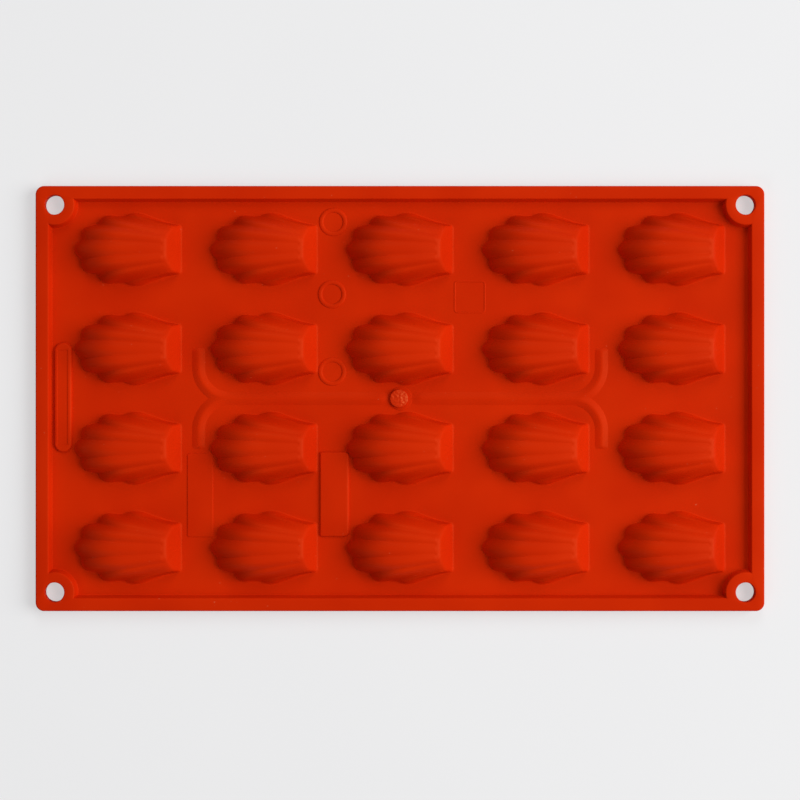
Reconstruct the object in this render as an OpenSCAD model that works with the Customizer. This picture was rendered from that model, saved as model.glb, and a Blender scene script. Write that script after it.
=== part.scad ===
// Flexible silicone mould for small shell cakes, lying face down: cup bottoms up, open side on the table.
// The heel of every shell cup points to +X and its fluted toe to -X. Z = 0 is the flat open face.

/* [Format] */
// Length of the mould, along X
mould_l = 300; // [290:1:340]
// Width of the mould, along Y
mould_w = 175; // [170:1:200]
// Radius of the mould's four outer corners
corner_r = 3.5; // [1:0.5:3.5]
// Thickness of the sheet between the cups
sheet_t = 1.6; // [1.2:0.1:2.4]

/* [Rim] */
// Height of the raised band round the edge, from the open face
rim_h = 5.5; // [4:0.5:8]
// Width of the flat top of the band
rim_w = 5.3; // [4.5:0.1:6]
// How far the band's inner wall slopes in on its way down to the sheet
rim_slope_w = 1; // [0.5:0.1:1.5]

/* [Corner holes] */
// Diameter of the hanging hole in each corner
hole_d = 8.1; // [5:0.1:9]
// Distance of each hole's centre from both edges
hole_inset = 7.75; // [7:0.05:8.5]
// Width of the flat land round each hole
land_w = 4.2; // [3.5:0.1:5]

/* [Cup grid] */
// Number of cups along X
columns = 5; // [3:1:5]
// Number of cups along Y, always even so that the spine lies between two rows
rows = 4; // [2:2:4]
// Distance from the mould's end to the first and last cup
margin_x = 16.05; // [15:0.05:20]
// Distance from the mould's side to the first and last cup
margin_y = 10.7; // [10.3:0.05:13]

/* [Shell cavity] */
// Length of a cavity at its mouth, heel to toe
cavity_l = 41.1; // [38:0.1:44]
// Width of a cavity at its mouth, across its widest lobes
cavity_w = 28.2; // [26:0.1:30]
// Depth of a cavity at its deepest, between two lobes
cavity_d = 11; // [9.5:0.5:13]
// Depth of a cavity at the top of its heel
heel_d = 8.9; // [7:0.1:9.4]
// Width of the straight heel at the mouth
heel_w = 17.4; // [14:0.1:19]
// How far the heel face leans in on its way up to the crest
heel_lean = 5.1; // [3:0.1:7]
// How far the middle lobe bulges past its valleys; the other lobes follow
lobe_bulge = 2.3; // [1:0.1:2.6]
// Height of the ribs where they leave the crest
crest_rib = 0.12; // [0:0.02:0.4]
// Wall of a cup
wall = 1.2; // [0.9:0.1:1.4]

/* [Spine and forks] */
// Width of the stiffening rib at its foot
rib_w = 5.5; // [4:0.1:6]
// Height of the stiffening rib above the sheet
rib_h = 1.2; // [0.6:0.1:2]
// Width of the rib's narrow top
rib_top_w = 0.8; // [0.4:0.1:1.5]
// Length of the slope at the end of each fork arm
arm_slope_l = 1.6; // [0.8:0.1:2.4]
// Radius of the fork's two bends
fork_r = 13; // [10:0.5:14]
// Reach of each fork arm from the spine
fork_reach = 20.9; // [18:0.1:24]
// How far the forks stand nearer the middle than the gap between two columns
fork_shift = 0.95; // [0:0.05:1.5]

/* [Gate boss] */
// Diameter of the boss where the mould was filled
boss_d = 8; // [6:0.5:8.5]
// Height of the boss above the sheet
boss_h = 1.5; // [1:0.1:2.5]
// Diameter of the shallow dimple in the boss
dimple_d = 3.2; // [2:0.1:4]
// Depth of that dimple
dimple_h = 0.5; // [0.3:0.1:0.9]

/* [Hidden] */
silicone = [0.78, 0.15, 0.02];
cut = 1;
$fn = 96;

// A shell has seven lobes between eight valleys, numbered from one heel corner round the toe to the other.
lobes = 7;
last_valley = lobes;
// Valleys 1, 2 and 3 at the mouth, as shares of the length and of the half width
valley_share = [[0.547, 0.876], [0.795, 0.693], [0.937, 0.25]];
// The same valleys where they start on the heel's arch, as shares of its half width
start_share = [0.95, 0.47, 0.2];
// Bulge of lobes 1 to 4 against the middle one, and how strongly each leans to the toe
bulge_share = [1.13, 1.07, 1, 1];
lobe_lean = [2.4, 1.5, 1.15, 1];
// How soon the lobes flatten on the way from the mouth up the back
bulge_fade = [5, 3, 2.6, 2.6];
// The heel's arch is a roof over two upright corners: where it turns down, how steeply and how softly
hip_start = 0.45;
hip_fall = 0.91;
hip_round = 0.12;
// The middle line: where the back is highest, and how it falls from there to the mouth
peak_share = 0.49;
toe_power = 2.45;
toe_round = 1.3;
// How little of the back's hump the outer lobes have
hump_power = 4;
least_hump = 0.02;
// Facets along each lobe and from crest to mouth
lobe_steps = 4;
back_steps = 5;
stations = lobes * lobe_steps;

cup_l = cavity_l + 2 * wall;
cup_w = cavity_w + 2 * wall;
pitch_x = (mould_l - 2 * margin_x - cup_l) / (columns - 1);
pitch_y = (mould_w - 2 * margin_y - cup_w) / (rows - 1);
fork_x = (columns / 2 - 1) * pitch_x - fork_shift;
land_r = hole_d / 2 + land_w;
foot_w = rim_w + rim_slope_w;
hole_x = mould_l / 2 - hole_inset;
hole_y = mould_w / 2 - hole_inset;

function cup_name(c, r) = str("cup_r", r, "c", c);
function toe_x(c) = -mould_l / 2 + margin_x + (c - 1) * pitch_x;
function row_y(r) = mould_w / 2 - margin_y - cup_w / 2 - (r - 1) * pitch_y;

// Shell geometry. The heel of the cavity's mouth is at the origin and the toe points to +X.
// grow is 0 on the cavity's own surface and the wall's thickness on the cup's outer surface.
function near_valley(k) = min(k, last_valley - k);
function near_lobe(j) = min(j, lobes - 1 - j);
function side(k) = k < last_valley / 2 ? 1 : -1;

function valley(k, grow) = let (m = near_valley(k)) m == 0
    ? [-grow, side(k) * (heel_w / 2 + grow)]
    : [valley_share[m - 1].x * (cavity_l + 2 * grow) - grow,
       side(k) * valley_share[m - 1].y * (cavity_w / 2 + grow)];

function start(k) = let (m = near_valley(k)) side(k) * (m == 0 ? 1 : start_share[m - 1]);
function swell(j, u) = let (lean = lobe_lean[near_lobe(j)])
    sin(180 * pow(j < lobes / 2 ? u : 1 - u, lean));

function roof(across) = let (past = across - hip_start)
    1 - hip_fall * (past + sqrt(past * past + hip_round * hip_round)) / 2;

// Share of the heel's height where the arch passes, upright beside the outer lobes
function arch(across) = across > start_share[0]
    ? roof(start_share[0]) * (1 - across) / (1 - start_share[0])
    : roof(across);

// Height of the back at share run of the way from the heel's arch to the mouth
function back_height(across, run, heel_rise, rise) = let (
    swing = max(least_hump, 1 - pow(across, hump_power)),
    peak = peak_share * swing,
    top = heel_rise + (rise - heel_rise) * swing
) run < peak
    ? top - (top - heel_rise) * pow(1 - run / peak, 2)
    : top * pow(max(0, 1 - pow((run - peak) / (1 - peak), toe_power)), 1 / toe_round);

// One point of the shell: lobe j, share u along the lobe, share s from the heel's arch down to the mouth.
// base is how far the surface's foot lies above the cavity's mouth.
function shell_point(j, u, s, grow, base) = let (
    a = valley(j, grow),
    b = valley(j + 1, grow),
    chord = a + (b - a) * u,
    normal = [a.y - b.y, b.x - a.x] / norm(b - a),
    across = start(j) + (start(j + 1) - start(j)) * u,
    height = arch(abs(across)),
    from = [heel_lean * height - grow, across * (heel_w / 2 + grow)],
    run = sin(90 * s),
    rise = cavity_d + grow - base,
    tilt = atan2(rise * height * run, norm(chord - from) * cos(90 * s)),
    bulge = lobe_bulge * bulge_share[near_lobe(j)],
    rib = crest_rib * height,
    proud = (rib + (bulge - rib) * pow(run, bulge_fade[near_lobe(j)])) * swell(j, u),
    plan = from + (chord - from) * run + normal * proud * sin(tilt)
) [plan.x, plan.y, back_height(abs(across), run, heel_d + grow - base, rise) * height
    + (s > 0 ? proud * cos(tilt) : 0)];

function station_point(i, s, grow, base) =
    let (j = min(floor(i / lobe_steps), lobes - 1)) shell_point(j, i / lobe_steps - j, s, grow, base);

function outline(grow) = [for (i = [0 : stations]) let (p = station_point(i, 1, grow, 0)) [p.x, p.y]];

// The shell's surface standing on base: both heel corners, then one row of points per back step
function shell_points(grow, base) = concat(
    [for (i = [0, stations]) station_point(i, 1, grow, base) + [0, 0, base]],
    [for (k = [0 : back_steps], i = [1 : stations - 1])
        station_point(i, k / back_steps, grow, base) + [0, 0, base]]);

shell_size = 2 + (back_steps + 1) * (stations - 1);
function shell_at(first, k, i) =
    i == 0 ? first : i == stations ? first + 1 : first + 1 + k * (stations - 1) + i;

function patch(a, b, c, d) = [for (t = [[a, b, c], [a, c, d]])
    if (t[0] != t[1] && t[1] != t[2] && t[0] != t[2]) t];
function flipped(faces) = [for (f = faces) [for (i = [len(f) - 1 : -1 : 0]) f[i]]];

function shell_faces(first) = concat(
    [[for (i = [0 : stations]) shell_at(first, 0, i)]],
    [for (k = [0 : back_steps - 1], i = [0 : stations - 1], t = patch(
        shell_at(first, k, i), shell_at(first, k + 1, i),
        shell_at(first, k + 1, i + 1), shell_at(first, k, i + 1))) t]);

module shell_cup() {
    outer = 0;
    inner = shell_size;
    base = 2 * shell_size;
    points = concat(
        shell_points(wall, sheet_t),
        shell_points(0, 0),
        [for (p = outline(wall)) [p.x, p.y, 0]]);
    // The last step of each ring closes the straight heel edge
    skirt = [for (i = [0 : stations]) let (n = (i + 1) % (stations + 1)) each patch(
        shell_at(outer, back_steps, i), base + i, base + n, shell_at(outer, back_steps, n))];
    lip = [for (i = [0 : stations]) let (n = (i + 1) % (stations + 1)) each patch(
        base + i, shell_at(inner, back_steps, i), shell_at(inner, back_steps, n), base + n)];
    polyhedron(points, concat(shell_faces(outer), flipped(shell_faces(inner)), skirt, lip), convexity = 6);
}

module at_cup(c, r) {
    translate([toe_x(c) + cup_l - wall, row_y(r), 0]) rotate([0, 0, 180]) children();
}

module cup(c, r) {
    color(silicone) at_cup(c, r) shell_cup();
}

module each_corner() {
    for (x = [-hole_x, hole_x], y = [-hole_y, hole_y]) translate([x, y, 0]) children();
}

module rounded_slab(l, w, r, h) {
    translate([-l / 2 + r, -w / 2, 0]) cube([l - 2 * r, w, h]);
    translate([-l / 2, -w / 2 + r, 0]) cube([l, w - 2 * r, h]);
    for (x = [-l / 2 + r, l / 2 - r], y = [-w / 2 + r, w / 2 - r])
        translate([x, y, 0]) cylinder(r = r, h = h);
}

// Straight-sided bed of the sheet inside the rim, with the lands' corners taken off
module bed(h) {
    difference() {
        translate([foot_w - mould_l / 2, foot_w - mould_w / 2, 0])
            cube([mould_l - 2 * foot_w, mould_w - 2 * foot_w, h]);
        translate([0, 0, -cut]) each_corner() cylinder(r = land_r + rim_slope_w, h = h + 2 * cut);
    }
}

module sheet() {
    color(silicone) difference() {
        bed(sheet_t);
        for (r = [1 : rows], c = [1 : columns])
            at_cup(c, r) translate([0, 0, -cut]) linear_extrude(sheet_t + 2 * cut) polygon(outline(wall));
    }
}

// Half profile of the recess inside the rim, widening upwards
module recess_profile(size, h) {
    out = rim_slope_w * h / (rim_h - sheet_t);
    polygon([[-size / 2, 0], [size / 2, 0], [size / 2 + out, h], [-size / 2 - out, h]]);
}

module recess(h) {
    intersection() {
        rotate([90, 0, 90]) linear_extrude(mould_l + 2 * cut, center = true)
            recess_profile(mould_w - 2 * foot_w, h);
        rotate([90, 0, 0]) linear_extrude(mould_w + 2 * cut, center = true)
            recess_profile(mould_l - 2 * foot_w, h);
    }
}

module rim() {
    step_h = rim_h - sheet_t;
    over = step_h + cut;
    color(silicone) difference() {
        rounded_slab(mould_l, mould_w, corner_r, rim_h);
        translate([0, 0, -cut]) bed(sheet_t + cut);
        difference() {
            translate([0, 0, sheet_t]) recess(over);
            translate([0, 0, sheet_t]) each_corner()
                cylinder(r1 = land_r + rim_slope_w, r2 = land_r + rim_slope_w - rim_slope_w * over / step_h,
                    h = over);
        }
        translate([0, 0, -cut]) each_corner() cylinder(d = hole_d, h = rim_h + 2 * cut);
    }
}

module rib_profile() {
    polygon([[-rib_w / 2, 0], [rib_w / 2, 0], [rib_top_w / 2, rib_h], [-rib_top_w / 2, rib_h]]);
}

// Side view of everything on the +Y side of the spine, with the slope at the arm's end
module arm_side() {
    lean = arm_slope_l / rib_h;
    top = rib_h + cut;
    polygon([[0, -cut], [fork_reach + cut * lean, -cut], [fork_reach - top * lean, top], [0, top]]);
}

// Half of one fork, on the +Y side of the spine: spine, bend and arm
module half_fork() {
    intersection() {
        union() {
            rotate([90, 0, 90]) linear_extrude(fork_x - fork_r) rib_profile();
            translate([fork_x - fork_r, fork_r, 0]) rotate([0, 0, -90])
                rotate_extrude(angle = 90) translate([fork_r, 0]) rib_profile();
            translate([fork_x, fork_reach + rib_w, 0]) rotate([90, 0, 0])
                linear_extrude(fork_reach + rib_w - fork_r) rib_profile();
        }
        translate([-cut, 0, 0]) rotate([90, 0, 90]) linear_extrude(fork_x + rib_w + cut) arm_side();
    }
}

module forked_rib() {
    translate([0, 0, sheet_t]) difference() {
        union() {
            half_fork();
            mirror([0, 1, 0]) half_fork();
        }
        translate([0, 0, -cut]) cylinder(d = boss_d, h = rib_h + 2 * cut);
    }
}

module right_forked_rib() {
    color(silicone) forked_rib();
}

module left_forked_rib() {
    color(silicone) mirror([1, 0, 0]) forked_rib();
}

module gate_boss() {
    color(silicone) translate([0, 0, sheet_t]) difference() {
        cylinder(d = boss_d, h = boss_h);
        translate([0, 0, boss_h - dimple_h]) cylinder(d1 = dimple_d / 2, d2 = dimple_d, h = dimple_h);
    }
}

sheet();
rim();
left_forked_rib();
right_forked_rib();
gate_boss();
for (r = [1 : rows], c = [1 : columns])
    cup(c, r);
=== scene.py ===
import math

import bmesh
import bpy
from mathutils import Matrix, Vector, noise


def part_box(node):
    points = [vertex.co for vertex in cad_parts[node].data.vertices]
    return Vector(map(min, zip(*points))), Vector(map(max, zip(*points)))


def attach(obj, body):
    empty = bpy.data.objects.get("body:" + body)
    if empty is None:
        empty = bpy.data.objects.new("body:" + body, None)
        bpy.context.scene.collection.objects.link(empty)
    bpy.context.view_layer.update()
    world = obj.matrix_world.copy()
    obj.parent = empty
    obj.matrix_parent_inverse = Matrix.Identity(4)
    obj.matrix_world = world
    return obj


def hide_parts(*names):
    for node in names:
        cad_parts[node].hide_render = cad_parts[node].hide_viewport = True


# One-piece flexible silicone mould for small shell cakes, lying face down with its cup bottoms up.
# Metres throughout. Pieces are made in place, on objects that stay at the origin.

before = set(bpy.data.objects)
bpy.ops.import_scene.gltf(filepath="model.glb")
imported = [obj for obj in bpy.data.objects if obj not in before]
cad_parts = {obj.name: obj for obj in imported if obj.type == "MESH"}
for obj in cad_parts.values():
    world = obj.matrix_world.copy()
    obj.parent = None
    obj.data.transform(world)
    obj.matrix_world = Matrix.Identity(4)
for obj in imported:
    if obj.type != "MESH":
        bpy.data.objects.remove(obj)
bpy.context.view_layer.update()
print("frame loaded:", len(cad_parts), "nodes")

mm = 0.001
rimLow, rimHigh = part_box("rim")
sheetLow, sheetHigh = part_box("sheet")
sheetTop = sheetHigh.z


# Selection and small mesh helpers

def pickOnly(piece):
    bpy.ops.object.select_all(action="DESELECT")
    piece.select_set(True)
    bpy.context.view_layer.objects.active = piece


def edit(piece):
    pickOnly(piece)
    bpy.ops.object.mode_set(mode="EDIT")
    bpy.ops.mesh.select_mode(type="VERT")


def doneEditing():
    bpy.ops.object.mode_set(mode="OBJECT")


def applyModifiers(piece):
    pickOnly(piece)
    for modifier in list(piece.modifiers):
        bpy.ops.object.modifier_apply(modifier=modifier.name)


def faceOutward(piece, mergeGap=0.005 * mm):
    edit(piece)
    bpy.ops.mesh.select_all(action="SELECT")
    bpy.ops.mesh.remove_doubles(threshold=mergeGap)
    bpy.ops.mesh.normals_make_consistent(inside=False)
    doneEditing()


def smoothShade(piece, sharpFrom=50):
    pickOnly(piece)
    bpy.ops.object.shade_smooth_by_angle(angle=math.radians(sharpFrom))


def pieceFrom(name, grid):
    mesh = bpy.data.meshes.new(name)
    grid.to_mesh(mesh)
    grid.free()
    piece = bpy.data.objects.new(name, mesh)
    bpy.context.scene.collection.objects.link(piece)
    return piece


def addRing(grid, plan, z):
    return [grid.verts.new((point.x, point.y, z)) for point in plan]


def joinRings(grid, first, second):
    count = len(first)
    for i in range(count):
        after = (i + 1) % count
        grid.faces.new((first[i], first[after], second[after], second[i]))


def loopEdges(grid, ring):
    count = len(ring)
    return [grid.edges.get((ring[i], ring[(i + 1) % count])) for i in range(count)]


def fillBetween(grid, rings):
    # Flat face between an outer ring and the rings inside it
    edges = [edge for ring in rings for edge in loopEdges(grid, ring)]
    bmesh.ops.triangle_fill(grid, use_beauty=True, use_dissolve=False, edges=edges)


def hold(piece, slot, *nodes):
    # Gives the piece its finish, and its place on the one body
    piece.data.materials.append(finishes[slot])
    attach(piece, "root")
    if nodes:
        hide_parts(*nodes)


def finishPiece(name, grid, slot, *nodes, sharpFrom=50, mergeGap=0.005 * mm):
    piece = pieceFrom(name, grid)
    faceOutward(piece, mergeGap)
    smoothShade(piece, sharpFrom)
    hold(piece, slot, *nodes)


# Camera straight above, with the photograph's frame

view = {
    "frameWidth": 329.1 * mm,      # what the picture spans at the rim's top
    "height": 950 * mm,            # camera above the table
    "centreY": -0.6 * mm,
    "sensor": 36,                  # in millimetres, as the camera counts it
}

cameraData = bpy.data.cameras.new("camera")
cameraData.sensor_width = view["sensor"]
cameraData.lens = view["sensor"] * (view["height"] - rimHigh.z) / view["frameWidth"]
camera = bpy.data.objects.new("camera", cameraData)
camera.location = (0, view["centreY"], view["height"])
bpy.context.scene.collection.objects.link(camera)
bpy.context.scene.camera = camera
bpy.context.scene.view_settings.view_transform = "Standard"


# Materials: sums and products in the code become Math nodes

class Signal:
    def __init__(self, finish, socket):
        self.finish = finish
        self.socket = socket

    def __add__(self, other):
        return self.finish.sum("ADD", self, other)

    def __radd__(self, other):
        return self.finish.sum("ADD", other, self)

    def __mul__(self, other):
        return self.finish.sum("MULTIPLY", self, other)

    def __rmul__(self, other):
        return self.finish.sum("MULTIPLY", other, self)


class Finish:
    def __init__(self, name):
        self.material = bpy.data.materials.new(name)
        self.material.use_nodes = True
        self.tree = self.material.node_tree
        self.tree.nodes.clear()

    def add(self, kind, settings=None, inputs=None, output=0):
        node = self.tree.nodes.new(kind)
        for key, value in (settings or {}).items():
            setattr(node, key, value)
        for key, value in (inputs or {}).items():
            if isinstance(value, Signal):
                self.tree.links.new(value.socket, node.inputs[key])
            else:
                node.inputs[key].default_value = value
        return Signal(self, node.outputs[output]) if node.outputs else None

    def sum(self, operation, first, second):
        return self.add("ShaderNodeMath", {"operation": operation}, {0: first, 1: second})

    def blend(self, factor, first, second):
        # Colour mix: sockets 6 and 7 are A and B, output 2 is the colour
        return self.add("ShaderNodeMix", {"data_type": "RGBA"}, {0: factor, 6: first, 7: second}, 2)

    def shader(self, inputs):
        surface = self.add("ShaderNodeBsdfPrincipled", None, inputs)
        self.add("ShaderNodeOutputMaterial", None, {"Surface": surface})
        return self.material


silicone = {
    "body": (0.625, 0.0210, 0.0006, 1),
    "deep": (0.575, 0.0170, 0.0004, 1),
    "cloudSize": 30 * mm,              # slow change of tone through the moulding
    "cloudEdges": (0.35, 0.65),
    "dust": (0.80, 0.22, 0.10, 1),
    "dustSize": 1.6 * mm,
    "dustEdges": (0.73, 0.80),         # only the noise's highest spots carry dust
    "dustShare": 0.35,
    "grainSize": 0.35 * mm,            # matte texture of the tool's surface
    "grainDepth": 0.004 * mm,
    "waveSize": 14 * mm,               # slight unevenness of soft rubber
    "waveDepth": 0.05 * mm,
    "roughness": 0.50,
    "roughnessSpread": 0.14,
    "index": 1.41,
    "shine": 0.12,
    "shineTint": (1, 0.8, 0.25, 1),
}


def siliconeFinish(name, grain=1.0, wave=1.0, rough=0.0, shine=1.0):
    look = Finish(name)
    place = look.add("ShaderNodeTexCoord", output=3)      # Object coordinates

    def cloud(size, detail):
        return look.add("ShaderNodeTexNoise", None, {"Vector": place, "Scale": 1 / size, "Detail": detail})

    def between(value, edges):
        return look.add("ShaderNodeMapRange", None, {0: value, 1: edges[0], 2: edges[1]})

    tone = between(cloud(silicone["cloudSize"], 2.0), silicone["cloudEdges"])
    colour = look.blend(tone, silicone["deep"], silicone["body"])
    specks = between(cloud(silicone["dustSize"], 3.0), silicone["dustEdges"])
    colour = look.blend(specks * silicone["dustShare"], colour, silicone["dust"])
    fine = cloud(silicone["grainSize"], 3.0)
    slow = cloud(silicone["waveSize"], 1.0)
    roughness = (fine * silicone["roughnessSpread"]
                 + (silicone["roughness"] + rough - silicone["roughnessSpread"] / 2))
    waves = look.add("ShaderNodeBump", None, {"Strength": 1.0, "Distance": silicone["waveDepth"] * wave,
                                              "Height": slow})
    bump = look.add("ShaderNodeBump", None, {"Strength": 1.0, "Distance": silicone["grainDepth"] * grain,
                                             "Height": fine, "Normal": waves})
    return look.shader({"Base Color": colour, "Roughness": roughness, "Normal": bump,
                        "IOR": silicone["index"], "Specular IOR Level": silicone["shine"] * shine,
                        "Specular Tint": silicone["shineTint"]})


finishes = {
    "sheet_silicone": siliconeFinish("sheetSilicone"),
    "rim_silicone": siliconeFinish("rimSilicone", wave=0.6),
    "cup_silicone": siliconeFinish("cupSilicone", wave=0.8),
    "rib_silicone": siliconeFinish("ribSilicone", wave=0.5),
    "boss_silicone": siliconeFinish("bossSilicone", grain=4.0, rough=-0.1, shine=4.0),
}
print("silicone finishes made")


# Shell cups: the cavity's mouth lies on z = 0 with its heel at the origin and its toe to +X,
# and the outer surface stands on the sheet

cup = {
    "cavityLength": 41.1 * mm,
    "cavityWidth": 28.2 * mm,
    "cavityDepth": 11 * mm,
    "heelDepth": 9.4 * mm,
    "heelWidth": 17.4 * mm,
    "heelLean": 5.3 * mm,              # how far the heel's crest stands in from its foot
    "lobes": 7,
    "lobeBulge": 2.3 * mm,
    "crestRib": 0.30 * mm,             # what is left of the bulge at the crest
    "wall": 1.2 * mm,
    "valleys": ((0.543, 0.905), (0.79, 0.683), (0.949, 0.258)),   # shares of length and half width
    "starts": (0.94, 0.55, 0.19),      # the same valleys on the heel's arch
    "bulges": (0.86, 0.94, 1.06, 1.12),    # each lobe's share of the bulge, from the heel to the toe
    "leans": (2.3, 1.5, 1.2, 1),       # how far a lobe's crest leans towards the toe
    "bulgeFades": (1.7, 1.5, 2.3, 2.3),    # how soon the lobes flatten on the way up the back
    "hipStart": 0.44,                  # the heel's arch is a roof over two upright corners
    "hipFall": 0.97,                   # the roof's fall beyond its start
    "hipRound": 0.1,
    "peakShare": 0.42,                 # where the back is highest, from the crest to the mouth
    "toePower": 3.1,                   # how full the rounded fall to the mouth is
    "toeRound": 1.17,
    "humpPower": 4,                    # how soon the hump goes flat towards the outer lobes
    "leastSwing": 0.02,
    "nearlyNothing": 1e-9,
    "lobeSteps": (22, 12, 11, 9),
    "firstCrowding": 1.6,              # the outer lobes' stations crowd towards the heel's corners
    "edgeGap": 0.3 * mm,               # spacing of the rows beside the crest
    "edgeRows": 8,
    "edgeReach": 0.5,                  # these rows take at most this share of the way to the mouth
    "heelShares": (1, 0.84, 0.67, 0.5, 0.35, 0.24, 0.172, 0.138, 0.103, 0.069, 0.034),
    "backRows": 20,
    "crestSmoothing": 30,
    "mergeGap": 0.01 * mm,
    "footRadius": 0.6 * mm,
    "mouthRadius": 0.6 * mm,
    "footEvening": 1.2 * mm,           # stretch along the foot over which its direction is evened out
    "leanEvening": 6,                  # passes that even out the slope at which the dome meets its fillet
    "leastSlope": 0.01,
    "footSteps": 7,
    "flange": 0.3 * mm,                # flat margin between the foot's fillet and the sheet
    "shortEdge": 0.12 * mm,            # points closer than this beside the cut become one
}


def nearValley(k):
    return min(k, cup["lobes"] - k)


def valleyPoint(k, grow):
    side = 1 if k < cup["lobes"] / 2 else -1
    if nearValley(k) == 0:
        return Vector((-grow, side * (cup["heelWidth"] / 2 + grow)))
    along, across = cup["valleys"][nearValley(k) - 1]
    return Vector((along * (cup["cavityLength"] + 2 * grow) - grow,
                   side * across * (cup["cavityWidth"] / 2 + grow)))


def archShare(k):
    side = 1 if k < cup["lobes"] / 2 else -1
    return side * (1 if nearValley(k) == 0 else cup["starts"][nearValley(k) - 1])


def roofHeight(across):
    past = across - cup["hipStart"]
    return 1 - cup["hipFall"] * (past + math.hypot(past, cup["hipRound"])) / 2


def archHeight(across):
    # Share of the heel's height where the arch passes, upright beside the outer lobes
    corner = cup["starts"][0]
    if across > corner:
        return roofHeight(corner) * (1 - across) / (1 - corner)
    return roofHeight(across)


def archPoint(lobe, share, grow):
    # Plan point on the heel's arch, and how far it is from the arch's middle
    across = archShare(lobe) + (archShare(lobe + 1) - archShare(lobe)) * share
    place = Vector((cup["heelLean"] * archHeight(abs(across)) - grow,
                    across * (cup["heelWidth"] / 2 + grow)))
    return place, abs(across)


def mouthChord(lobe, share, grow):
    return valleyPoint(lobe, grow).lerp(valleyPoint(lobe + 1, grow), share)


def backHeight(across, run, heelRise, rise):
    # A hump from the heel's crest, lower and nearer for the outer lobes, and a rounded fall to the mouth
    swing = max(cup["leastSwing"], 1 - across ** cup["humpPower"])
    peak = cup["peakShare"] * swing
    top = heelRise + (rise - heelRise) * swing
    if run < peak:
        return top - (top - heelRise) * (1 - run / peak) ** 2
    return top * max(0, 1 - ((run - peak) / (1 - peak)) ** cup["toePower"]) ** (1 / cup["toeRound"])


def shellPoint(lobe, share, run, grow, heelRise, rise):
    # run goes from 0 on the heel's arch to 1 at the mouth
    chord = valleyPoint(lobe + 1, grow) - valleyPoint(lobe, grow)
    normal = Vector((-chord.y, chord.x)).normalized()
    start, across = archPoint(lobe, share, grow)
    reach = mouthChord(lobe, share, grow) - start
    height = archHeight(across)
    level = max(reach.length * math.sqrt(1 - run * run), cup["nearlyNothing"])
    tilt = math.atan2(rise * height * run, level)
    near = min(lobe, cup["lobes"] - 1 - lobe)
    rib = cup["crestRib"] * height
    swell = math.sin(math.pi * (share if lobe < cup["lobes"] / 2 else 1 - share) ** cup["leans"][near])
    proud = (rib + (cup["lobeBulge"] * cup["bulges"][near] - rib) * run ** cup["bulgeFades"][near]) * swell
    plan = start + reach * run + normal * proud * math.sin(tilt)
    up = backHeight(across, run, heelRise, rise) * height + proud * math.cos(tilt)
    return Vector((plan.x, plan.y, up))


def shellStations():
    stations = []
    for lobe in range(cup["lobes"]):
        near = min(lobe, cup["lobes"] - 1 - lobe)
        steps = cup["lobeSteps"][near]
        for k in range(steps):
            share = k / steps
            if lobe == 0:
                share = share ** cup["firstCrowding"]
            if lobe == cup["lobes"] - 1:
                share = 1 - (1 - share) ** cup["firstCrowding"]
            stations.append((lobe, share))
    stations.append((cup["lobes"] - 1, 1))
    return stations


def backRuns(lobe, share, grow):
    # Rows at one spacing beside the crest, then closer and closer down to the mouth
    start = archPoint(lobe, share, grow)[0]
    reach = max((mouthChord(lobe, share, grow) - start).length, cup["mergeGap"])
    rows = [0]
    for k in range(1, cup["edgeRows"] + 1):
        rows.append(min(k * cup["edgeGap"] / reach, cup["edgeReach"] * k / cup["edgeRows"]))
    last = rows[-1]
    for k in range(1, cup["backRows"] + 1):
        rows.append(last + (1 - last) * math.sin(math.pi / 2 * k / cup["backRows"]))
    rows[-1] = 1
    return rows


def wrapShell(name, grow, base):
    # A flat grid is laid over the heel face and the back: one row of points after another
    heelRise = cup["heelDepth"] + grow - base
    rise = cup["cavityDepth"] + grow - base
    stations = shellStations()
    heelRows = len(cup["heelShares"])
    rowCount = heelRows + 1 + cup["edgeRows"] + cup["backRows"]
    bpy.ops.object.select_all(action="DESELECT")
    bpy.ops.mesh.primitive_grid_add(x_subdivisions=len(stations) - 1, y_subdivisions=rowCount - 1, size=1)
    dome = bpy.context.object
    dome.name = name
    footCentre = Vector((-grow, 0, 0))
    for i, (lobe, share) in enumerate(stations):
        back = [shellPoint(lobe, share, run, grow, heelRise, rise) for run in backRuns(lobe, share, grow)]
        column = [back[0].lerp(footCentre, heelShare) for heelShare in cup["heelShares"]] + back
        for k, point in enumerate(column):
            dome.data.vertices[k * len(stations) + i].co = point
    # The crest is rounded by relaxing the rows beside it
    crestRow = heelRows
    edit(dome)
    bpy.ops.mesh.select_all(action="DESELECT")
    doneEditing()
    for vertex in dome.data.vertices:
        row = vertex.index // len(stations)
        vertex.select = abs(row - crestRow) < cup["edgeRows"] - 1
    edit(dome)
    bpy.ops.mesh.vertices_smooth(factor=0.5, repeat=cup["crestSmoothing"])
    bpy.ops.mesh.select_all(action="SELECT")
    bpy.ops.mesh.remove_doubles(threshold=cup["mergeGap"])
    doneEditing()
    return dome


def boundaryLoop(grid):
    # Vertices round the open edge, counter-clockwise seen from above
    edges = [edge for edge in grid.edges if len(edge.link_faces) == 1]
    links = {}
    for edge in edges:
        for vertex in edge.verts:
            links.setdefault(vertex, []).append(edge.other_vert(vertex))
    first = edges[0].verts[0]
    ring, previous, current = [first], first, links[first][0]
    while current is not first and len(ring) < len(edges):
        ring.append(current)
        onward = [vertex for vertex in links[current] if vertex is not previous]
        previous, current = current, onward[0]
    count = len(ring)
    area = sum(ring[i].co.x * ring[(i + 1) % count].co.y - ring[(i + 1) % count].co.x * ring[i].co.y
               for i in range(count))
    return ring if area > 0 else ring[::-1]


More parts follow.
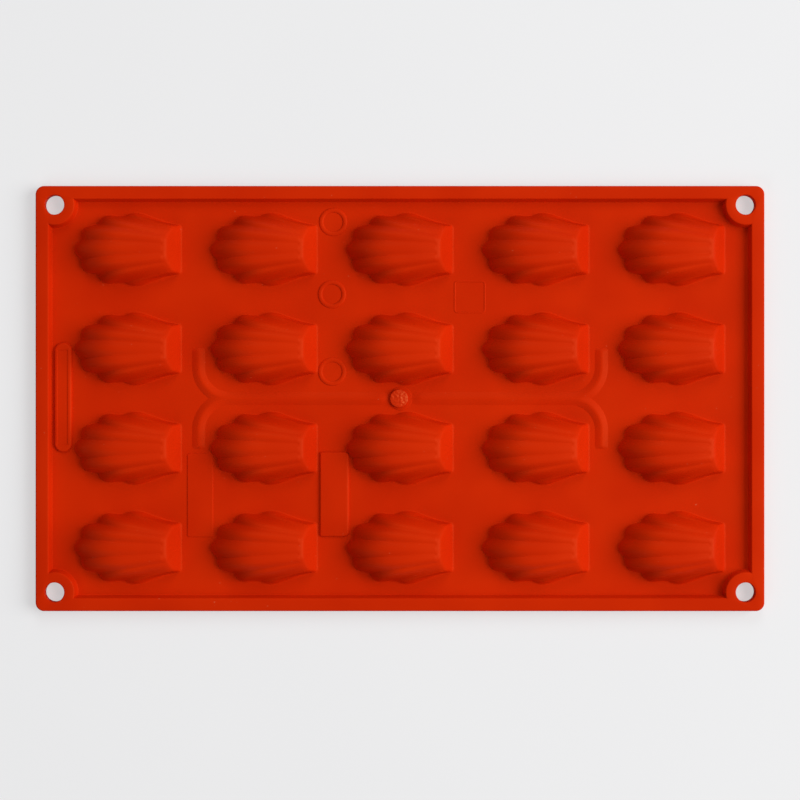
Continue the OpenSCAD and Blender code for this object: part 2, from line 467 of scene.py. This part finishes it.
def outwardNormals(plan, reach):
    # Evened out along the loop, so that an offset doesn't cross itself in the valleys
    count = len(plan)
    steps = [plan[(i + 1) % count] - plan[i] for i in range(count)]
    normals = []
    for i in range(count):
        total = Vector((0, 0))
        for direction in (1, -1):
            walked = 0
            k = i if direction == 1 else i - 1
            while walked < reach:
                step = steps[k % count]
                weight = max(0, 1 - walked / reach)
                total += Vector((step.y, -step.x)) * weight
                walked += step.length
                k += direction
        normals.append(total.normalized())
    return normals


def footLeans(grid, ring, radius):
    # How far out the dome's own slope would reach the flat, evened out along the loop
    grid.normal_update()
    leans = []
    for vertex in ring:
        up = abs(vertex.normal.z)
        leans.append(min(radius * up / math.sqrt(max(1 - up * up, cup["leastSlope"])), radius))
    count = len(leans)
    for _ in range(cup["leanEvening"]):
        leans = [(leans[i - 1] + 2 * leans[i] + leans[(i + 1) % count]) / 4 for i in range(count)]
    return leans


def flareFoot(dome, radius, baseZ, downTo):
    # Cuts the dome off above its foot, and flares it out on to the flat it stands on
    edit(dome)
    bpy.ops.mesh.select_all(action="SELECT")
    bpy.ops.mesh.bisect(plane_co=(0, 0, radius), plane_no=(0, 0, 1), clear_inner=True)
    doneEditing()
    grid = bmesh.new()
    grid.from_mesh(dome.data)
    low = [vertex for vertex in grid.verts if vertex.co.z < radius + cup["shortEdge"]]
    bmesh.ops.remove_doubles(grid, verts=low, dist=cup["shortEdge"])
    ring = boundaryLoop(grid)
    for vertex in ring:
        vertex.co.z = radius
    plan = [vertex.co.xy for vertex in ring]
    normals = outwardNormals(plan, cup["footEvening"])
    leans = footLeans(grid, ring, radius)
    for k in range(1, cup["footSteps"] + 1):
        share = k / cup["footSteps"]
        outline = [point + normal * (2 * share * lean + share ** 2 * (radius - lean))
                   for point, normal, lean in zip(plan, normals, leans)]
        onward = addRing(grid, outline, radius * (1 - share) ** 2)
        joinRings(grid, ring, onward)
        ring = onward
    outline = [point + normal * (lean + radius + cup["flange"])
               for point, normal, lean in zip(plan, normals, leans)]
    onward = addRing(grid, outline, 0)
    joinRings(grid, ring, onward)
    if downTo is not None:
        joinRings(grid, onward, addRing(grid, outline, downTo - baseZ))
    bmesh.ops.translate(grid, verts=grid.verts, vec=(0, 0, baseZ))
    grid.to_mesh(dome.data)
    grid.free()
    return outline


def makeCup():
    outer = wrapShell("cupShell", cup["wall"], sheetTop)
    outline = flareFoot(outer, cup["footRadius"], sheetTop, 0)
    inner = wrapShell("cupCavity", 0, 0)
    flareFoot(inner, cup["mouthRadius"], 0, None)
    pickOnly(outer)
    inner.select_set(True)
    bpy.ops.object.join()
    grid = bmesh.new()
    grid.from_mesh(outer.data)
    mouth = [edge for edge in grid.edges if len(edge.link_faces) == 1]
    bmesh.ops.triangle_fill(grid, use_beauty=True, use_dissolve=False, edges=mouth)
    grid.to_mesh(outer.data)
    grid.free()
    faceOutward(outer)
    return outer, outline


master, footOutline = makeCup()
footLoops = []
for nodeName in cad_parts:
    if not nodeName.startswith("cup_"):
        continue
    low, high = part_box(nodeName)
    place = (Matrix.Translation((high.x - cup["wall"], (low.y + high.y) / 2, 0))
             @ Matrix.Rotation(math.pi, 4, "Z"))
    mesh = master.data.copy()
    mesh.transform(place)
    shell = bpy.data.objects.new("shell_" + nodeName, mesh)
    bpy.context.scene.collection.objects.link(shell)
    smoothShade(shell)
    hold(shell, "cup_silicone", nodeName)
    footLoops.append([(place @ point.to_3d()).xy for point in footOutline])
bpy.data.objects.remove(master)
print("shell cups made:", len(footLoops), "with", len(mesh.polygons), "faces each")


# Sheet and rim share the outline of the sheet's bed: straight sides with the corner lands cut in

band = {
    "cornerRadius": 3.5 * mm,
    "slope": 1.0 * mm,                 # how far the inner wall leans out, from its foot to its top
    "holeAcross": 8.1 * mm,
    "holeInset": 7.75 * mm,
    "landWidth": 4.2 * mm,             # flat top round a hole
    "topRound": 0.6 * mm,
    "innerRound": 0.45 * mm,
    "bottomRound": 0.3 * mm,
    "holeRound": 0.3 * mm,
    "footFillet": 0.25 * mm,
    "seam": 0.001 * mm,                # how far the fillet's foot stays above the sheet
    "mergeGap": 0.0005 * mm,
    "roundSteps": 4,
    "holeRoundSteps": 3,
    "cornerSteps": 14,
    "landSteps": 28,
    "holeSteps": 48,
}
corners = [(1, 1), (-1, 1), (-1, -1), (1, -1)]      # counter-clockwise
holeCentre = Vector((rimHigh.x - band["holeInset"], rimHigh.y - band["holeInset"]))
landFoot = band["holeAcross"] / 2 + band["landWidth"] + band["slope"]


def fourCorners(arc):
    # The first corner's arc, and its mirror images in the other three
    outline = []
    for sideX, sideY in corners:
        turned = [Vector((point.x * sideX, point.y * sideY)) for point in arc]
        outline += turned if sideX * sideY > 0 else turned[::-1]
    return outline


def arcPoints(centre, radius, first, last, steps):
    angles = [first + (last - first) * k / steps for k in range(steps + 1)]
    return [centre + radius * Vector((math.cos(a), math.sin(a))) for a in angles]


def bedOutline(grow):
    # grow moves the straight sides out and makes the lands smaller
    halfX, halfY, radius = sheetHigh.x + grow, sheetHigh.y + grow, landFoot - grow
    first = math.atan2(-math.sqrt(radius ** 2 - (halfX - holeCentre.x) ** 2), halfX - holeCentre.x)
    last = math.atan2(halfY - holeCentre.y, -math.sqrt(radius ** 2 - (halfY - holeCentre.y) ** 2))
    last -= 2 * math.pi
    return fourCorners(arcPoints(holeCentre, radius, first, last, band["landSteps"]))


def slabOutline(inset):
    radius = band["cornerRadius"] - inset
    centre = Vector((rimHigh.x - band["cornerRadius"], rimHigh.y - band["cornerRadius"]))
    return fourCorners(arcPoints(centre, radius, 0, math.pi / 2, band["cornerSteps"]))


def circleOutline(centre, radius, steps):
    return arcPoints(centre, radius, 0, 2 * math.pi, steps)[:-1]


def quarterRound(radius, steps):
    # Pairs (in, down) that turn an upright side into a flat top
    angles = [math.pi / 2 * k / steps for k in range(steps + 1)]
    return [(radius * (1 - math.cos(a)), radius * (1 - math.sin(a))) for a in angles]


def wallUp(grid, outlines):
    rings = [addRing(grid, outline, z) for outline, z in outlines]
    for lower, upper in zip(rings, rings[1:]):
        joinRings(grid, lower, upper)
    return rings[0], rings[-1]


def makeSheet():
    grid = bmesh.new()
    topRings = []
    bottomRings = []
    for outline in [bedOutline(0)] + footLoops:
        low, high = wallUp(grid, [(outline, 0), (outline, sheetTop)])
        bottomRings.append(low)
        topRings.append(high)
    fillBetween(grid, topRings)
    fillBetween(grid, bottomRings)
    finishPiece("sheetSkin", grid, "sheet_silicone", "sheet")


def makeRim():
    top = rimHigh.z
    steps = band["roundSteps"]
    grid = bmesh.new()
    outer = [(slabOutline(band["bottomRound"]), 0), (slabOutline(0), band["bottomRound"])]
    outer += [(slabOutline(inward), top - down) for inward, down in quarterRound(band["topRound"], steps)]
    slope = band["slope"] / (top - sheetTop)
    fillet = band["footFillet"]
    inner = [(bedOutline(0), 0), (bedOutline(0), sheetTop)]
    for k in range(steps + 1):
        turn = math.pi / 2 * k / steps
        z = fillet * (1 - math.cos(turn))
        inner.append((bedOutline(z * slope - fillet * (1 - math.sin(turn))), sheetTop + z + band["seam"]))
    for inward, down in quarterRound(band["innerRound"], steps):
        z = top - down
        inner.append((bedOutline(slope * (z - sheetTop) + inward), z))
    bottomRings, topRings = [], []
    for outlines in (outer, inner):
        low, high = wallUp(grid, outlines)
        bottomRings.append(low)
        topRings.append(high)
    hole = band["holeAcross"] / 2
    for sideX, sideY in corners:
        centre = Vector((holeCentre.x * sideX, holeCentre.y * sideY))
        rounds = quarterRound(band["holeRound"], band["holeRoundSteps"])
        levels = [(hole + inward, down) for inward, down in reversed(rounds)]
        levels += [(hole + inward, top - down) for inward, down in rounds]
        low, high = wallUp(grid, [(circleOutline(centre, r, band["holeSteps"]), z) for r, z in levels])
        bottomRings.append(low)
        topRings.append(high)
    fillBetween(grid, topRings)
    fillBetween(grid, bottomRings)
    finishPiece("rimBand", grid, "rim_silicone", "rim", sharpFrom=40, mergeGap=band["mergeGap"])


makeSheet()
makeRim()
print("sheet and rim made")


# Forked ribs: a soft ridge along the middle that splits into two arms at each end

rib = {
    "width": 5.5 * mm,
    "height": 0.75 * mm,
    "crestWidth": 0.7 * mm,
    "footSection": ((0, 0), (0.15 * mm, 0.05), (0.35 * mm, 0.18)),    # in from the foot, share of height
    "crestSection": ((0.25 * mm, 0.92), (0, 0.985)),                  # out from the crest, share of height
    "forkX": 83.2 * mm,                # the arms' middle line
    "bend": 13 * mm,
    "reach": 20.9 * mm,                # from the spine's middle line to an arm's end
    "endSlope": 1.6 * mm,
    "endSteps": 4,
    "endScale": 0.02,                  # share of the height that is left where a ridge ends
    "endNarrowing": 0.25,
    "bendSteps": 32,
    "startRight": 3.3 * mm,            # where each spine starts to rise beside the boss
    "startLeft": 2.6 * mm,
    "startSlope": 6.0 * mm,
    "startSteps": 8,
    "straightSteps": 16,
    "cutGap": 0.001 * mm,
}


def ribSection(scale):
    # From one foot over the crest to the other foot, as (across, up)
    half, crest, height = rib["width"] / 2, rib["crestWidth"] / 2, rib["height"] * scale
    points = [(half - inward, height * share) for inward, share in rib["footSection"]]
    points += [(crest + outward, height * share) for outward, share in rib["crestSection"]]
    points.append((0, height))
    return points + [(-across, up) for across, up in reversed(points[:-1])]


def makeForkedRib(name, node, side):
    # The +Y arm and its half of the spine; the other half is its mirror
    start = rib["startRight"] if side > 0 else rib["startLeft"]
    least = rib["endScale"]
    alongX, alongY = Vector((1, 0)), Vector((0, 1))
    bendStart = rib["forkX"] - rib["bend"]
    path = []                          # places on the middle line, the way ahead, share of the height
    for k in range(rib["startSteps"] + 1):
        share = k / rib["startSteps"]
        path.append((Vector((start + rib["startSlope"] * share, 0)), alongX,
                     least + (1 - least) * (0.5 - 0.5 * math.cos(math.pi * share))))
    straight = start + rib["startSlope"]
    for k in range(1, rib["straightSteps"]):
        share = (k / rib["straightSteps"]) ** 2
        path.append((Vector((straight + (bendStart - straight) * share, 0)), alongX, 1.0))
    for k in range(rib["bendSteps"] + 1):
        turn = math.pi / 2 * k / rib["bendSteps"]
        path.append((Vector((bendStart + rib["bend"] * math.sin(turn), rib["bend"] * (1 - math.cos(turn)))),
                     Vector((math.cos(turn), math.sin(turn))), 1.0))
    path.append((Vector((rib["forkX"], rib["reach"] - 2 * rib["endSlope"])), alongY, 1.0))
    for k in range(rib["endSteps"] + 1):
        share = k / rib["endSteps"]
        path.append((Vector((rib["forkX"], rib["reach"] - rib["endSlope"] * (1 - share))), alongY,
                     math.cos(share * math.pi / 2) * (1 - least) + least))
    grid = bmesh.new()
    rings = []
    for place, ahead, scale in path:
        across = Vector((-ahead.y, ahead.x))
        narrow = 1 - rib["endNarrowing"] * (1 - scale) ** 2
        rings.append([grid.verts.new((*(place + across * out * narrow), sheetTop + up))
                      for out, up in ribSection(scale)])
    for first, second in zip(rings, rings[1:]):
        joinRings(grid, first, second)
    grid.faces.new(rings[0])
    grid.faces.new(rings[-1][::-1])
    piece = pieceFrom(name, grid)
    edit(piece)
    bpy.ops.mesh.select_all(action="SELECT")
    bpy.ops.mesh.bisect(plane_co=(0, 0, 0), plane_no=(0, 1, 0), clear_inner=True,
                        threshold=rib["cutGap"])
    doneEditing()
    mirror = piece.modifiers.new("otherArm", "MIRROR")
    mirror.use_axis = (False, True, False)
    mirror.merge_threshold = 2 * rib["cutGap"]
    applyModifiers(piece)
    if side < 0:
        piece.data.transform(Matrix.Scale(-1, 4, (1, 0, 0)))
    faceOutward(piece)
    smoothShade(piece, sharpFrom=40)
    hold(piece, "rib_silicone", node)


makeForkedRib("forkedRidgeRight", "right_forked_rib", 1)
makeForkedRib("forkedRidgeLeft", "left_forked_rib", -1)
print("forked ribs made")


# Gate boss: the stub in the middle where the mould was filled, with a rough top, on a low collar

sunk = 0.05 * mm                       # how deep the collar and the raised marks reach into the sheet

boss = {
    "across": 7.6 * mm,
    "height": 1.45 * mm,
    "x": -0.40 * mm,
    "sunk": 0.1 * mm,
    "side": ((1, 0.6), (0.985, 0.85)),     # up the side, as shares of the radius and of the height
    "topShare": 0.95,                  # the top's radius against the foot's
    "crown": 0.12 * mm,                # how far the top's middle stands above its edge
    "crownPower": 3,
    "fall": 0.60 * mm,                 # how far the top drops, mostly towards the right
    "fallWay": (0.8, 0.3),
    "roughness": 0.24 * mm,
    "roughSize": 1.0 * mm,
    "roughFrom": 0.5,                  # share of the height above which the stub is uneven
    "rings": 16,
    "steps": 64,
    "collarAcross": 9.8 * mm,
    "collarHeight": 0.16 * mm,
    "collarRun": 1.6,                  # its rounded side's run against its height
    "collarSteps": 4,
    "collarX": 0.25 * mm,
}


def makeBoss():
    grid = bmesh.new()
    centre = Vector((boss["x"], 0))
    radius, height = boss["across"] / 2, boss["height"]
    levels = [(radius, -boss["sunk"])] + [(radius * out, height * up) for out, up in boss["side"]]
    for k in range(boss["rings"]):
        share = 1 - k / boss["rings"]
        raised = boss["crown"] * (1 - share ** boss["crownPower"])
        levels.append((radius * boss["topShare"] * share, height + raised))
    low, high = wallUp(grid, [(circleOutline(centre, r, boss["steps"]), sheetTop + z) for r, z in levels])
    grid.faces.new(low[::-1])
    grid.faces.new(high)
    fallX, fallY = boss["fallWay"]
    for vertex in grid.verts:
        up = (vertex.co.z - sheetTop) / height
        if up > boss["roughFrom"]:
            away = (vertex.co.xy - centre) / radius
            rough = noise.noise(vertex.co / boss["roughSize"]) * boss["roughness"]
            vertex.co.z += rough - boss["fall"] * max(0, away.x * fallX + away.y * fallY) * up
    finishPiece("gateStub", grid, "boss_silicone", "gate_boss", sharpFrom=45)


def makeCollar():
    centre = Vector((boss["collarX"], 0))
    radius, height = boss["collarAcross"] / 2, boss["collarHeight"]
    grid = bmesh.new()
    levels = [(radius, -sunk)]
    for k in range(boss["collarSteps"] + 1):
        turn = math.pi / 2 * k / boss["collarSteps"]
        inward = height * boss["collarRun"] * (1 - math.cos(turn))
        levels.append((radius - inward, height * math.sin(turn)))
    low, high = wallUp(grid, [(circleOutline(centre, r, boss["steps"]), sheetTop + z) for r, z in levels])
    grid.faces.new(low[::-1])
    grid.faces.new(high)
    finishPiece("gateCollar", grid, "sheet_silicone", sharpFrom=45)


makeBoss()
makeCollar()
print("gate boss made")


# Bare raised rings, plates and panels on the sheet, with nothing on them

marks = {
    "rings": ((-27.6 * mm, 72.9 * mm), (-28.1 * mm, 43.1 * mm), (-28.0 * mm, 11.1 * mm)),
    "ringRadius": 4.9 * mm,
    "ringHalfWidth": 0.95 * mm,
    "ringHeight": 0.42 * mm,
    "ringSteps": (72, 16),
    "plate": {"centre": (-26.9 * mm, -39.5 * mm), "size": (12.05 * mm, 35.0 * mm), "height": 1.0 * mm,
              "leftRadius": 0.6 * mm, "rightRadius": 2.1 * mm,
              "leftSlope": 0.2 * mm, "rightSlope": 1.3 * mm, "endSlope": 0.5 * mm},
    "panel": {"centre": (-82.5 * mm, -39.9 * mm), "size": (10.7 * mm, 34.6 * mm), "height": 0.3 * mm,
              "leftRadius": 0.8 * mm, "rightRadius": 0.8 * mm,
              "leftSlope": 0.25 * mm, "rightSlope": 0.4 * mm, "endSlope": 0.3 * mm},
    "lozenge": {"centre": (-138.9 * mm, 0.5 * mm), "size": (7.2 * mm, 45.4 * mm), "height": 1.3 * mm,
                "leftRadius": 3.5 * mm, "rightRadius": 3.5 * mm,
                "leftSlope": 0.3 * mm, "rightSlope": 1.2 * mm, "endSlope": 0.7 * mm,
                "recess": (4.4 * mm, 39.3 * mm), "recessX": -0.35 * mm, "recessRadius": 0.5 * mm,
                "recessLevels": ((0, 0), (0.08 * mm, 0.08 * mm), (0.18 * mm, 0.22 * mm))},  # in, down
    "frame": {"centre": (28.8 * mm, 42.0 * mm), "size": (13.2 * mm, 13.6 * mm), "height": 0.16 * mm,
              "leftRadius": 1.6 * mm, "rightRadius": 1.6 * mm,
              "leftSlope": 0.3 * mm, "rightSlope": 0.3 * mm, "endSlope": 0.3 * mm, "ridge": 0.8 * mm},
    "leastRadius": 0.05 * mm,
    "cornerSteps": 10,
    "roundSteps": 6,
    "ridgeSteps": 8,
    "mergeGap": 0.002 * mm,
}


def cornerBox(lowX, highX, lowY, highY, leftRadius, rightRadius):
    outline = []
    for x, y, radius, turn in ((highX, lowY, rightRadius, -0.5), (highX, highY, rightRadius, 0),
                               (lowX, highY, leftRadius, 0.5), (lowX, lowY, leftRadius, 1)):
        radius = max(radius, marks["leastRadius"])
        centre = Vector((x - radius if x == highX else x + radius,
                         y - radius if y == highY else y + radius))
        outline += arcPoints(centre, radius, math.pi * turn, math.pi * (turn + 0.5), marks["cornerSteps"])
    return outline


def plateOutline(mark, share):
    # share of the way from the foot to the top's edge
    x, y = mark["centre"]
    halfX, halfY = mark["size"][0] / 2, mark["size"][1] / 2
    left, right, end = (mark[key] * share for key in ("leftSlope", "rightSlope", "endSlope"))
    return cornerBox(x - halfX + left, x + halfX - right, y - halfY + end, y + halfY - end,
                     mark["leftRadius"] - left, mark["rightRadius"] - end)


def makePlate(name, mark):
    grid = bmesh.new()
    levels = [(plateOutline(mark, 0), sheetTop - sunk)]
    for k in range(marks["roundSteps"] + 1):
        turn = math.pi / 2 * k / marks["roundSteps"]
        levels.append((plateOutline(mark, 1 - math.cos(turn)),
                       sheetTop + mark["height"] * math.sin(turn)))
    low, high = wallUp(grid, levels)
    grid.faces.new(low[::-1])
    x, y = mark["centre"]
    if "recess" in mark:
        top = sheetTop + mark["height"]
        x += mark["recessX"]
        halfX, halfY = mark["recess"][0] / 2, mark["recess"][1] / 2
        radius = mark["recessRadius"]
        levels = [(cornerBox(x - halfX + inward, x + halfX - inward, y - halfY + inward,
                             y + halfY - inward, radius, radius), top - down)
                  for inward, down in mark["recessLevels"]]
        outer, floor = wallUp(grid, levels)
        grid.faces.new(floor)
        fillBetween(grid, [high, outer])
    else:
        grid.faces.new(high)
    finishPiece(name, grid, "sheet_silicone", sharpFrom=40, mergeGap=marks["mergeGap"])


def makeFrameRidge(name, mark):
    # A closed loop with a low rounded section
    x, y = mark["centre"]
    halfX, halfY = mark["size"][0] / 2, mark["size"][1] / 2
    grid = bmesh.new()
    rings = []
    for k in range(marks["ridgeSteps"] + 1):
        turn = math.pi * k / marks["ridgeSteps"]
        inward = mark["ridge"] / 2 * (1 - math.cos(turn))
        outline = cornerBox(x - halfX + inward, x + halfX - inward, y - halfY + inward,
                            y + halfY - inward, mark["leftRadius"] - inward, mark["rightRadius"] - inward)
        rings.append(addRing(grid, outline, sheetTop - sunk + (sunk + mark["height"]) * math.sin(turn)))
    for k in range(len(rings)):
        joinRings(grid, rings[k - 1], rings[k])
    finishPiece(name, grid, "sheet_silicone", sharpFrom=60, mergeGap=marks["mergeGap"])


def makeRingRidge(name, x, y):
    bpy.ops.object.select_all(action="DESELECT")
    around, across = marks["ringSteps"]
    bpy.ops.mesh.primitive_torus_add(major_radius=marks["ringRadius"], minor_radius=marks["ringHalfWidth"],
                                     major_segments=around, minor_segments=across)
    piece = bpy.context.object
    piece.name = name
    piece.scale.z = marks["ringHeight"] / marks["ringHalfWidth"]
    piece.location = (x, y, sheetTop)
    bpy.ops.object.transform_apply(location=True, scale=True)
    bpy.ops.object.shade_smooth()
    hold(piece, "sheet_silicone")


makePlate("barePlate", marks["plate"])
makePlate("lowPanel", marks["panel"])
makePlate("endLozenge", marks["lozenge"])
makeFrameRidge("bareFrame", marks["frame"])
for k, (x, y) in enumerate(marks["rings"]):
    makeRingRidge("bareRing%d" % (k + 1), x, y)
print("bare marks made")


# Table and light

table = {
    "size": 6,
    "below": 0.2 * mm,                 # how far it lies under the mould
    "body": (0.86, 0.86, 0.87, 1),
    "pale": (0.88, 0.88, 0.885, 1),
    "mottleScale": 8.0,
    "glow": 0.58,                      # share of its own paleness that the camera sees even in the shade
}


def addFloor():
    bpy.ops.object.select_all(action="DESELECT")
    bpy.ops.mesh.primitive_plane_add(size=table["size"], location=(0, 0, -table["below"]))
    floor = bpy.context.object
    floor.name = "tableTop"
    bpy.ops.object.transform_apply(location=True)
    look = Finish("paleTable")
    place = look.add("ShaderNodeTexCoord", output=3)      # Object coordinates
    mottle = look.add("ShaderNodeTexNoise", None, {"Vector": place, "Scale": table["mottleScale"]})
    colour = look.blend(mottle, table["body"], table["pale"])
    matte = look.add("ShaderNodeBsdfDiffuse", None, {"Color": colour})
    glow = look.add("ShaderNodeEmission", None, {"Color": colour, "Strength": 1.0})
    seen = look.add("ShaderNodeLightPath")                # Is Camera Ray
    surface = look.add("ShaderNodeMixShader", None, {0: seen * table["glow"], 1: matte, 2: glow})
    look.add("ShaderNodeOutputMaterial", None, {"Surface": surface})
    floor.data.materials.append(look.material)


light = {
    "distance": 2.4,
    "room": 0.175,
    "lamps": {
        "keyLamp": {"azimuth": 2, "elevation": 38, "size": 2.0, "level": 1.01},
        "farLamp": {"azimuth": 85, "elevation": 42, "size": 1.2, "level": 0.23},
        "nearLamp": {"azimuth": 235, "elevation": 40, "size": 1.2, "level": 0.11},
    },
}


def addLamp(name, azimuth, elevation, size, level):
    # level is the brightness it gives a white surface that faces it
    distance = light["distance"]
    a, e = math.radians(azimuth), math.radians(elevation)
    toLamp = Vector((math.cos(a) * math.cos(e), math.sin(a) * math.cos(e), math.sin(e)))
    data = bpy.data.lights.new(name, "AREA")
    data.shape = "DISK"
    data.size = size
    data.energy = level * math.pi ** 2 * distance ** 2
    lamp = bpy.data.objects.new(name, data)
    lamp.location = toLamp * distance
    lamp.rotation_euler = toLamp.to_track_quat("Z", "Y").to_euler()
    bpy.context.scene.collection.objects.link(lamp)


addFloor()
for lampName, lampValues in light["lamps"].items():
    addLamp(lampName, **lampValues)
world = bpy.data.worlds.new("room")
world.use_nodes = True
background = world.node_tree.nodes["Background"]
background.inputs["Color"].default_value = (1, 1, 1, 1)
background.inputs["Strength"].default_value = light["room"]
bpy.context.scene.world = world
print("table and light set")
